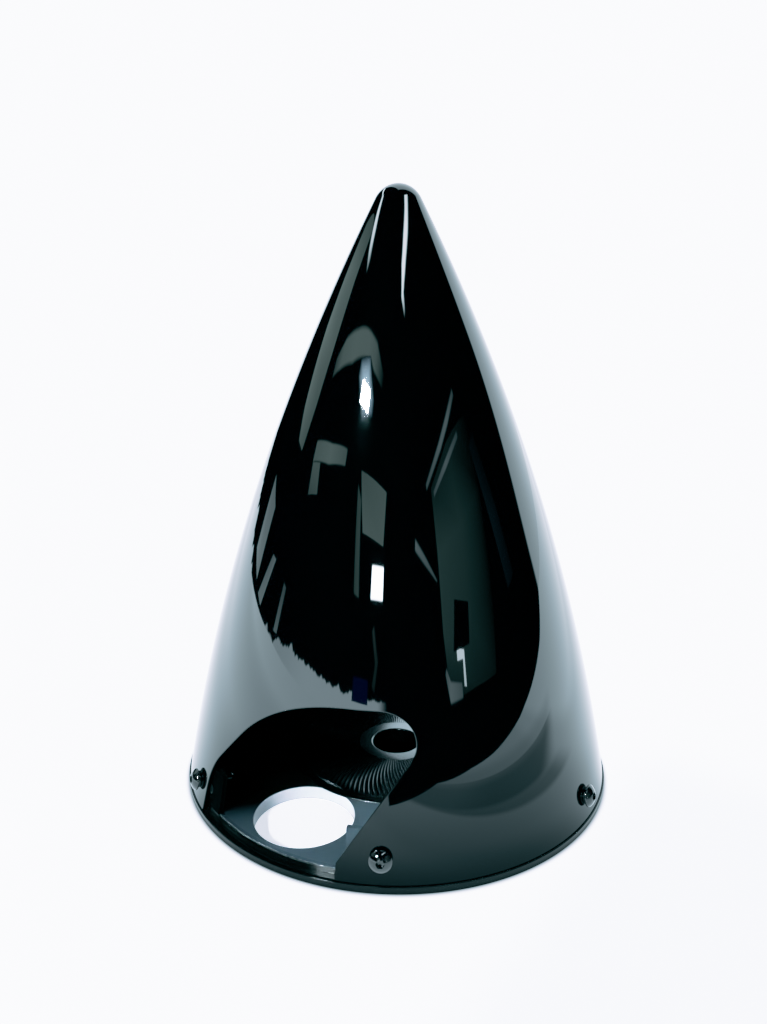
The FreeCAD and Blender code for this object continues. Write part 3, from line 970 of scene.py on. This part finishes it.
def hubShadePaint(material):
    tree = material.node_tree
    maths, ramp, _ = mathsIn(tree)
    x, y, _, _ = places(tree)
    # Painted shade and light: the colour is scaled from dark at the left to light at the right, in front
    # only.
    across = ramp(x, *hubMetalAndShade["across"], *hubMetalAndShade["change"])
    scale = maths("ADD", maths("MULTIPLY", across, ramp(y, *hubMetalAndShade["front"])), 1.0)
    tree.links.new(scaledColour(tree, hubMetalAndShade["colour"], scale),
                   tree.nodes["Principled BSDF"].inputs["Base Color"])


plateTonesAndShade = {
    "top": (0.0135, 0.0175, 0.0215),
    # Painted light and shade on the top: where it turns from shaded to lit, and how light it is from
    # left to right.
    "paintedLightFrom": (0.052, 0.07),  # x less y, in metres, where the top turns from dark to bluish
    "paintedLightRight": (-0.02, 0.01),
    "paintedLightLevels": (0.5, 1.1),
    "cloudScale": 45.0,
    "cloudDetail": 5.0,
    # A light, jagged line along the top's edge: the sawn edge's bare metal and a painted highlight.
    "burrAndHighlight": (0.07, 0.075, 0.075),
    "burrRadius": 0.0955,
    "burrDepth": 0.0016,
    "gritScale": 500.0,
    "gritDetail": 2.0,
    "black": (0.0002, 0.0003, 0.0003),
    "burrTop": 0.0053,  # below this height the edge is black
    "flangeFoot": (0.0061, 0.0063),
    # Painted shade: the flange's left half is painted black, where it lies in shadow.
    "flangeShadeSide": (0.001, -0.001),  # the flange is black on its left half only
    "holeWall": (0.3, 0.32, 0.345),
    "roughEdge": (0.0935, 0.0945),
    "roughness": (0.35, 0.12),
    "shineEdge": (0.0058, 0.0062),
    "shine": (0.08, 0.0),
}


def platePaint(material):
    # Black rim, a flange painted black on its left half as painted shade, a bluish top with random
    # clouds that is painted dark at its back and left as painted shade and lighter at its front and
    # right as painted light, a light jagged line along its edge that is partly a painted highlight, and
    # bright walls in the holes.
    f = plateTonesAndShade
    tree = material.node_tree
    maths, ramp, distance = mathsIn(tree)
    x, y, height, place = places(tree)
    radius = distance(x, y)
    side = maths("SUBTRACT", maths("ABSOLUTE", y), plate["lighteningOffset"] * metresPerUnit)
    fromHole = distance(side, x)
    # Painted light and shade: the top is dark where x less y is small, at its back and left, and lighter
    # at its front and right.
    paintedLight = maths("MULTIPLY", ramp(maths("SUBTRACT", x, y), *f["paintedLightFrom"]),
                 ramp(x, *f["paintedLightRight"], *f["paintedLightLevels"]))
    clouds = maths("ADD", noise(tree, place, f["cloudScale"], f["cloudDetail"]), 0.5)
    top = scaledColour(tree, f["top"], maths("MULTIPLY", paintedLight, clouds))
    # Partly painted highlight: a light line where the ragged radius passes burrRadius.
    grit = maths("SUBTRACT", noise(tree, place, f["gritScale"], f["gritDetail"]), 0.5)
    ragged = maths("ADD", radius, maths("MULTIPLY", grit, f["burrDepth"]))
    edged = stepColour(tree, ragged, f["burrRadius"], top, f["burrAndHighlight"])
    # Past burrRadius wherever the plate is black: outside it, below burrTop, and on the flange's left
    # half, whose black is painted shade.
    beyond = maths("MAXIMUM", radius, maths("SUBTRACT", f["burrRadius"] + f["burrTop"], height))
    flange = maths("MULTIPLY", ramp(height, *f["flangeFoot"]), ramp(x, *f["flangeShadeSide"]))
    blackened = stepColour(tree, maths("MAXIMUM", beyond, flange), f["burrRadius"], edged, f["black"])
    holeEdge = (plate["lighteningRadius"] + plate["edgeRound"] / 2) * metresPerUnit
    colour = stepColour(tree, fromHole, holeEdge, f["holeWall"], blackened)
    shader = tree.nodes["Principled BSDF"]
    tree.links.new(colour, shader.inputs["Base Color"])
    tree.links.new(ramp(radius, *f["roughEdge"], *f["roughness"]), shader.inputs["Roughness"])
    tree.links.new(ramp(height, *f["shineEdge"], *f["shine"]), shader.inputs["Specular IOR Level"])


materials = {
    "shell": newMaterial("gloss black", Base_Color=(0.00004, 0.00006, 0.0001, 1), Roughness=0.02),
    "plate": newMaterial("dark plate"),
    "hub": newMaterial("hub metal", Roughness=0.19, Metallic=1.0),
    "screw": newMaterial("screw black", Base_Color=(0.0003, 0.0003, 0.0004, 1), Roughness=0.06),
    "nut": newMaterial("nut steel", Base_Color=(0.05, 0.05, 0.05, 1), Roughness=0.4, Metallic=1.0),
    "rivet": newMaterial("rivet metal", Base_Color=(0.08, 0.08, 0.085, 1), Roughness=0.35,
                         Metallic=1.0),
}
shellShadePaint(materials["shell"])
platePaint(materials["plate"])
hubShadePaint(materials["hub"])


def paint(piece, material):
    piece.data.materials.clear()
    piece.data.materials.append(material)


def numbered(stem, count):
    return ["%s_%d" % (stem, i + 1) for i in range(count)]


print("shell")
shellPiece = makeShell()
paint(shellPiece, materials["shell"])
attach(shellPiece, "root")
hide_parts("spinner_shell")

print("backplate")
platePiece = makeBackplate()
paint(platePiece, materials["plate"])
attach(platePiece, "root")
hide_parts("backplate")

print("hub disc")
tree = repeatTree()
hubPiece = makeHubDisc()
paint(hubPiece, materials["hub"])
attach(hubPiece, "root")
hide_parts("hub_disc")
ribs = makeRib()
outward(ribs)
smoothByAngle(ribs, 20)
repeatAround(ribs, tree, hub["ribCount"], materials["hub"])
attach(ribs, "root")

print("screws and washers")
screws = makeScrew()
outward(screws)
smoothByAngle(screws, 40)
moveToScrew(screws)
repeatAround(screws, tree, screw["count"], materials["screw"])
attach(screws, "root")
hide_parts(*numbered("screw", screw["count"]))
washers = makeWasher()
outward(washers)
smoothByAngle(washers, 50)
moveToScrew(washers)
repeatAround(washers, tree, screw["count"], materials["screw"])
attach(washers, "root")
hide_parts(*numbered("washer", screw["count"]))

print("nuts and rivets")
for name in numbered("anchor_nut", screw["count"]):
    paint(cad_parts[name], materials["nut"])
for name in numbered("rivet", 2 * screw["count"]):
    paint(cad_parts[name], materials["rivet"])

# The viewer, and the light. A turn is counted in degrees from the viewer's own direction.

viewer = {
    "azimuth": -56.69,
    "distance": 369.15,
    "height": 220.5,
    "heading": 124.27,
    "tilt": 14.55,  # degrees below level
    "sensor": 36.0,
    "lens": 29.18,
}
lampDistance = 12.0  # metres
skyCentre = 0.12  # metres above the floor
paperWhite = 3.3
paleBlue = (0.98, 0.99, 1.02)
olive = (0.97, 1.0, 0.9)


def emission(name, colour, strength, attribute):
    # It glows as strongly as the attribute says at each point.
    material = bpy.data.materials.new(name)
    material.use_nodes = True
    tree = material.node_tree
    tree.nodes.clear()
    maths, _, _ = mathsIn(tree)
    glow = tree.nodes.new("ShaderNodeEmission")
    glow.inputs["Color"].default_value = (*colour, 1)
    share = tree.nodes.new("ShaderNodeAttribute")
    share.attribute_name = attribute
    tree.links.new(maths("MULTIPLY", share.outputs["Fac"], strength), glow.inputs["Strength"])
    out = tree.nodes.new("ShaderNodeOutputMaterial")
    tree.links.new(glow.outputs[0], out.inputs["Surface"])
    return material


def skyPoint(turn, lift, distance):
    azimuth = math.radians(viewer["azimuth"] + turn)
    elevation = math.radians(lift)
    out = math.cos(elevation)
    point = Vector((out * math.cos(azimuth), out * math.sin(azimuth), math.sin(elevation)))
    return point * distance + Vector((0.0, 0.0, skyCentre))


def glowing(name, verts, faces, shares, strength, colour):
    piece = newPiece(name, verts, faces)
    glow = piece.data.attributes.new("glow", "FLOAT", "POINT")
    glow.data.foreach_set("value", shares)
    piece.data.materials.append(emission(name, colour, strength, "glow"))


def band(name, spots, strength, colour=(1, 1, 1), soft=0.5, distance=lampDistance):
    # A glowing strip along (turn, lift, width, share) spots that fades towards its two sides.
    verts = []
    faces = []
    shares = []
    across = ((-1.0, 0.0), (-1.0 + soft, 1.0), (1.0 - soft, 1.0), (1.0, 0.0))
    for i, (turn, lift, width, share) in enumerate(spots):
        before = skyPoint(*spots[max(i - 1, 0)][:2], distance)
        after = skyPoint(*spots[min(i + 1, len(spots) - 1)][:2], distance)
        here = skyPoint(turn, lift, distance)
        side = (after - before).cross(here).normalized()
        half = math.tan(math.radians(width / 2)) * distance
        for offset, level in across:
            verts.append(here + side * (half * offset))
            shares.append(share * level)
        if i:
            for j in range(len(across) - 1):
                a = len(across) * i + j
                faces.append((a - 4, a - 3, a + 1, a))
    glowing(name, verts, faces, shares, strength, colour)


def patch(name, rows, strength, colour=(1, 1, 1), distance=lampDistance):
    # A glowing sheet from rows of (turn, lift, share) points, all rows with as many points.
    verts = []
    faces = []
    shares = []
    count = len(rows[0])
    for i, row in enumerate(rows):
        for j, (turn, lift, share) in enumerate(row):
            verts.append(skyPoint(turn, lift, distance))
            shares.append(share)
            if i and j:
                a = count * i + j
                faces.append((a - count - 1, a - count, a, a - 1))
    glowing(name, verts, faces, shares, strength, colour)


# The tones of the table's glow are painted light and shade: shadows at its right, brighter stretches at
# its left, front and far right, and a contact shadow round the foot.
table = {
    "outline": ((0.155, -0.262), (0.335, -0.262), (0.35, -0.24), (0.385, -0.205), (0.43, -0.165),
                (0.46, -0.115), (0.48, -0.08), (0.54, 0.0), (0.62, 0.12), (0.67, 0.18), (0.78, 0.36),
                (1.04, 0.81), (3.2, 3.83), (0.0, 9.0), (-6.0, 6.0), (-0.95, 0.56), (-2.2, 0.36),
                (-2.3, -0.2), (-3.4, -1.2), (-9.3, -7.6), (-3.0, -12.0), (4.4, -9.3)),
    # Painted shadow: a darker ring on the paper round the part's foot.
    "contactShadowRing": (0.0995, 0.1025),
    "contactShadowTone": 0.12,
    "covered": 0.0985,  # radius of what the plate stands on
    "slant": (-0.13, -0.20),  # y less x, where the dim stretch begins
    "dimLeft": (0.20, 0.225),
    "dimRight": (0.338, 0.332),
    "dimAcross": ((0.29, 0.335), (0.31, 0.44)),  # where its tone changes, and from what to what
    "dimForward": ((-0.06, -0.18), (0.0, 0.11)),
    "beyondLeft": (0.332, 0.338),
    "beyondRight": (0.46, 0.36),
    "beyondTone": 0.78,
    "rightward": (0.988, 0.156),
    "besideStart": (0.171, 0.186),
    "besideEnd": (0.225, 0.20),
    "besideTone": 0.5,
    "sideBack": (0.10, 0.04),
    "nearStart": (0.085, 0.12),
    "nearTone": 0.86,
    "farStart": (0.185, 0.26),
    "farBack": (0.12, 0.20),
    "farTone": 1.27,
    "leftward": (0.528, 0.849),
    "leftStart": (-0.155, -0.3),
    "leftTone": 1.32,
    "frontStart": (-0.35, -1.0),
    "frontTone": 1.35,
    "holeEdge": (0.026, 0.022),
    "holeGlow": 0.39,
    "holeColour": 0.25,
}


def makeFloor():
    # A glowing white table top that ends close in front of the spinner, with painted light and shade on
    # its glow: it dims at its right as painted shadow and is lighter at its left, front and far right as
    # painted light.
    t = table
    piece = newPiece("floor", [(x, y, 0.0) for x, y in t["outline"]], [tuple(range(len(t["outline"])))])
    material = newMaterial("floor")
    tree = material.node_tree
    maths, ramp, distance = mathsIn(tree)
    x, y, _, _ = places(tree)

    def times(*values):
        product = values[0]
        for value in values[1:]:
            product = maths("MULTIPLY", product, value)
        return product

    def mixed(share, level, rest=1.0):
        return maths("ADD", times(share, level), times(maths("SUBTRACT", 1.0, share), rest))

    def along(direction):
        return maths("ADD", times(x, direction[0]), times(y, direction[1]))

    radius = distance(x, y)
    # Painted shadows and painted light: each stretch below darkens or lightens the paper's glow.
    front = ramp(maths("SUBTRACT", y, x), *t["slant"])
    sideBack = ramp(y, *t["sideBack"])
    outRight = along(t["rightward"])
    dim = times(ramp(x, *t["dimLeft"]), ramp(x, *t["dimRight"]), front)
    (acrossPlaces, acrossTones), (forwardPlaces, forwardTones) = t["dimAcross"], t["dimForward"]
    dimTone = maths("ADD", ramp(x, *acrossPlaces, *acrossTones), ramp(y, *forwardPlaces, *forwardTones))
    beyond = times(ramp(x, *t["beyondLeft"]), ramp(x, *t["beyondRight"]), front)
    beside = times(ramp(outRight, *t["besideStart"]), ramp(x, *t["besideEnd"]), sideBack)
    nearRight = times(ramp(x, *t["nearStart"]), sideBack)
    farRight = times(ramp(outRight, *t["farStart"]), ramp(y, *t["farBack"]))
    leftPart = times(ramp(along(t["leftward"]), *t["leftStart"], 1.0, t["leftTone"]),
                     ramp(y, *t["frontStart"], 1.0, t["frontTone"]))
    level = times(mixed(dim, dimTone), mixed(beyond, t["beyondTone"]), mixed(beside, t["besideTone"]),
                  mixed(nearRight, t["nearTone"]), mixed(farRight, t["farTone"]), leftPart,
                  ramp(radius, *t["contactShadowRing"], t["contactShadowTone"], 1.0))

    # Under the plate only the paper below the front lightening hole is lit: the lamp lights it, and it
    # also glows there as a painted pool of light.
    fromHole = distance(x, maths("ADD", y, plate["lighteningOffset"] * metresPerUnit))
    underHole = ramp(fromHole, *t["holeEdge"])
    outside = maths("GREATER_THAN", radius, t["covered"])
    level = mixed(outside, level, times(underHole, t["holeGlow"]))
    shader = tree.nodes["Principled BSDF"]
    shader.inputs["Specular IOR Level"].default_value = 0.0
    shader.inputs["Emission Color"].default_value = (*paleBlue, 1)
    tree.links.new(times(underHole, t["holeColour"]), shader.inputs["Base Color"])
    tree.links.new(times(level, paperWhite), shader.inputs["Emission Strength"])
    piece.data.materials.append(material)


room = {
    "clutter": (("Scale", 0.14), ("Detail", 3.0), ("Roughness", 0.6)),
    "clutterRise": 3.0,
    "tableEdge": ((-110.0, -55.0), (-2.4, 2.4)),  # turns, and the lift of the skyline there
    "skylineSoft": (0.15, -0.15),
    "leftSideEnd": (-5.0, -11.0),
    "brighterLeft": ((-152.0, -142.0), (1.0, 1.3)),
    "brighterNear": ((-80.0, -50.0), (1.0, 1.4)),
    "leftEdge": (-153.5, -154.5),
    "rightEdge": ((2.0, 22.0), (107.5, 116.0)),  # it leans: lifts, and the turns there
    "rightSoft": (-1.0, 1.0),
}


def makeWorld():
    # White walls to the left and right behind the spinner and a dark room behind the viewer.
    world = bpy.data.worlds.new("room")
    bpy.context.scene.world = world
    world.use_nodes = True
    tree = world.node_tree
    nodes = tree.nodes
    links = tree.links
    maths, ramp, _ = mathsIn(tree)
    turn = nodes.new("ShaderNodeMapping")
    turn.vector_type = "POINT"
    turn.inputs["Rotation"].default_value = (0, 0, math.radians(-viewer["azimuth"]))
    links.new(places(tree, "Generated")[3], turn.inputs["Vector"])
    split = nodes.new("ShaderNodeSeparateXYZ")
    links.new(turn.outputs["Vector"], split.inputs[0])
    degree = math.radians(1.0)
    angle = maths("DIVIDE", maths("ARCTAN2", split.outputs["Y"], split.outputs["X"]), degree)
    lift = maths("DIVIDE", maths("ARCSINE", split.outputs["Z"]), degree)

    # The skyline of what stands on the table at the left.
    clutter = nodes.new("ShaderNodeTexNoise")
    clutter.noise_dimensions = "1D"
    for name, value in room["clutter"]:
        clutter.inputs[name].default_value = value
    links.new(angle, clutter.inputs["W"])
    bumps = maths("MULTIPLY", maths("SUBTRACT", clutter.outputs["Fac"], 0.5), room["clutterRise"])
    turns, lifts = room["tableEdge"]
    skyline = maths("ADD", ramp(angle, *turns, *lifts), bumps)
    low = ramp(maths("SUBTRACT", lift, skyline), *room["skylineSoft"])
    leftSide = maths("MULTIPLY", low, ramp(angle, *room["leftSideEnd"]))
    for turns, levels in (room["brighterLeft"], room["brighterNear"]):
        leftSide = maths("MULTIPLY", leftSide, ramp(angle, *turns, *levels))
    lifts, turns = room["rightEdge"]
    right = ramp(maths("SUBTRACT", angle, ramp(lift, *lifts, *turns)), *room["rightSoft"])
    left = ramp(angle, *room["leftEdge"])
    white = maths("MAXIMUM", maths("MAXIMUM", right, left), leftSide)
    background = nodes["Background"]
    links.new(maths("MULTIPLY", white, paperWhite), background.inputs["Strength"])
    background.inputs["Color"].default_value = (*paleBlue, 1)


print("studio")
makeFloor()
makeWorld()
band("main lamp", [(-43, 35.9, 2.8, 1.0), (-32.5, 35.9, 2.8, 1.0)], 4600.0, soft=0.3, distance=11.4)
band("lamp glow", [(-50, 36.6, 4, 0.0), (-38, 36.8, 8, 1.0), (-27, 36.6, 4, 0.0)], 26.0,
     (0.7, 0.85, 1.0), 1.0, distance=11.7)
band("lamp shade", [(-85, 29.4, 2.5, 0.3), (-78, 33, 4, 0.8), (-63, 37.6, 4.5, 1.0),
                    (-43, 41.5, 3.5, 1.0), (-31, 41.5, 4, 0.8), (-18, 39.6, 2, 0.0)], 2.6, olive, 0.3)
band("spot", [(-17, 15.8, 4.2, 1.0), (-9.2, 15.9, 4.2, 1.0)], 110.0, soft=0.15)
band("left streak", [(-152, 40, 3, 0.7), (-103, 43, 3.4, 1.0), (-94, 43.9, 3.4, 1.0),
                     (-85.5, 44.3, 3.4, 0.9), (-76, 44, 2, 0.1)], 20.0)
band("right streak", [(66, 56.4, 3, 0.6), (36.5, 57.3, 3.6, 0.9), (20.8, 55.6, 4, 1.0),
                      (12, 52.9, 4, 1.0), (9.6, 50.4, 3.4, 0.8), (13, 48, 1.5, 0.0)], 32.0)
band("far shelf", [(-81, 20.9, 2.5, 0.7), (-64, 24.6, 2.6, 1.0), (-48, 27.2, 2.2, 0.7)], 2.6, olive, 0.2)
band("rail one", [(25, 26.5, 1.0, 0.6), (41.5, 29.6, 1.4, 1.0), (53, 30.9, 1.4, 1.0),
                  (66, 31.5, 1.0, 0.4)], 2.4)
band("rail two", [(31, 25.1, 1.0, 0.6), (45, 27.0, 1.3, 1.0), (61, 27.6, 1.0, 0.4)], 2.2)
band("wedge", [(13.5, 20.4, 1.8, 1.0), (20, 18.2, 1.4, 0.8), (27.5, 15.2, 0.4, 0.5)], 2.6)
band("small lamp", [(36.5, 5.8, 1.6, 1.0), (40.5, 5.4, 1.6, 1.0), (40.0, 1.8, 1.4, 0.7)], 18.0,
     soft=0.2, distance=11.0)
band("jar", [(29, 4.6, 1.2, 0.6), (31, 2.0, 3, 1.0), (38, 1.6, 2, 0.6)], 2.6, soft=0.3, distance=11.2)
band("bottle", [(-14.5, 10.5, 1.5, 1.0), (-11.6, 6.6, 2, 0.6), (-13.1, 3.5, 2, 0.5)], 0.7,
     (1.0, 0.8, 0.75))
band("blue box", [(-20.5, 4.4, 9, 1.0), (-20.5, 1.5, 9, 1.0)], 0.3, (0.1, 0.12, 1.0), 0.1)
patch("left wall", [((-132, 28, 0.3), (-96, 42, 0.6)), ((-128, 24, 0.8), (-98, 35.5, 1.0)),
                    ((-123, 20.7, 1.0), (-95.5, 28, 1.0)), ((-111, 16.6, 1.0), (-95, 22, 0.8)),
                    ((-104, 15.3, 0.8), (-96.5, 16.5, 0.7))], 1.9, olive)
patch("far shelf side", [((-81, 20.7, 1.0), (-73, 21.8, 1.0)),
                         ((-77.5, 16.8, 0.6), (-69, 18.8, 0.8))], 1.9, olive)
patch("centre wall", [((-32, 27.8, 0.7), (-8.8, 26.8, 0.9)), ((-26, 21, 1.0), (-10, 20.3, 1.0))],
      2.3, olive)
patch("centre post", [((-33.5, 26, 0.8), (-29.5, 24.5, 0.9)),
                      ((-28.5, 13.6, 0.7), (-25, 13.4, 1.0))], 1.3, olive)
patch("low left one", [((-121, 6, 0.5), (-109, 6.5, 0.7)), ((-118, -0.5, 1.0), (-108, -0.8, 1.0))], 2.2)
patch("low left two", [((-97, 5, 0.6), (-93, 5.5, 0.9)), ((-103, -0.8, 0.8), (-98, -0.8, 1.0))], 2.4)
patch("low left three", [((-81, 6, 0.5), (-78.5, 6, 0.5)), ((-82, 0.5, 1.0), (-79, 0.8, 1.0))], 2.0)
patch("curtain", [((29, 26, 0.3), (48, 29, 0.3), (74, 27, 0.0)),
                  ((29.5, 18, 1.0), (50, 19, 0.7), (72, 19, 0.0)),
                  ((29, 9, 0.9), (46, 9, 0.6), (66, 8.5, 0.0)),
                  ((31, 1, 0.1), (46, 1, 0.3), (60, 0.4, 0.1))], 0.85, (0.95, 1.0, 0.9), distance=12.4)
patch("right wall", [((71, 24, 0.5), (78, 24, 0.1)), ((76, 14, 1.0), (84, 14, 0.3)),
                     ((79, 6, 0.6), (86, 6, 0.2))], 0.16, (0.7, 0.8, 1.0))
patch("stand", [((38, 12, 1), (47.5, 10.5, 1)), ((34.5, 6.3, 1), (45, 6, 1))], 0.0, distance=11.0)

print("tone and camera")
scene = bpy.context.scene
scene.view_settings.view_transform = "Standard"
scene.view_settings.use_curve_mapping = True
tone = scene.view_settings.curve_mapping
whiteLevel = 4.0
tone.white_level = (whiteLevel, whiteLevel, whiteLevel)
# What is shown of each level of light, so that the whites roll off softly.
for share in (0.015, 0.03, 0.06, 0.1, 0.16, 0.24, 0.34, 0.48, 0.66, 0.84):
    tone.curves[3].points.new(share, 1 - math.exp(-share * whiteLevel))
tone.curves[3].points[-1].location = (1.0, 1 - math.exp(-whiteLevel))
# The darks and middles of everything lean to teal and the whites stay white.
redTone = ((0.02, 0.006), (0.05, 0.028), (0.1, 0.068), (0.2, 0.15), (0.3, 0.232), (0.42, 0.335),
           (0.6, 0.54), (0.75, 0.725), (0.88, 0.87), (0.96, 0.957))
blueTone = ((0.05, 0.054), (0.1, 0.108), (0.2, 0.217), (0.3, 0.325), (0.42, 0.465), (0.6, 0.655),
            (0.75, 0.81), (0.88, 0.92), (0.96, 0.972))


def levelShown(shown):
    # The share of the white level that the curve above turns into what is shown.
    return -math.log(1 - shown) / whiteLevel


for channel, points in ((0, redTone), (2, blueTone)):
    for plain, wanted in points:
        tone.curves[channel].points.new(levelShown(plain), levelShown(wanted))
tone.update()

cameraData = bpy.data.cameras.new("camera")
cameraData.sensor_fit = "VERTICAL"
cameraData.sensor_height = viewer["sensor"]
cameraData.lens = viewer["lens"]
camera = bpy.data.objects.new("camera", cameraData)
scene.collection.objects.link(camera)
azimuth = math.radians(viewer["azimuth"])
camera.location = Vector((viewer["distance"] * math.cos(azimuth), viewer["distance"] * math.sin(azimuth),
                          viewer["height"])) * metresPerUnit
camera.rotation_euler = (math.radians(90 - viewer["tilt"]), 0, math.radians(viewer["heading"] - 90))
scene.camera = camera
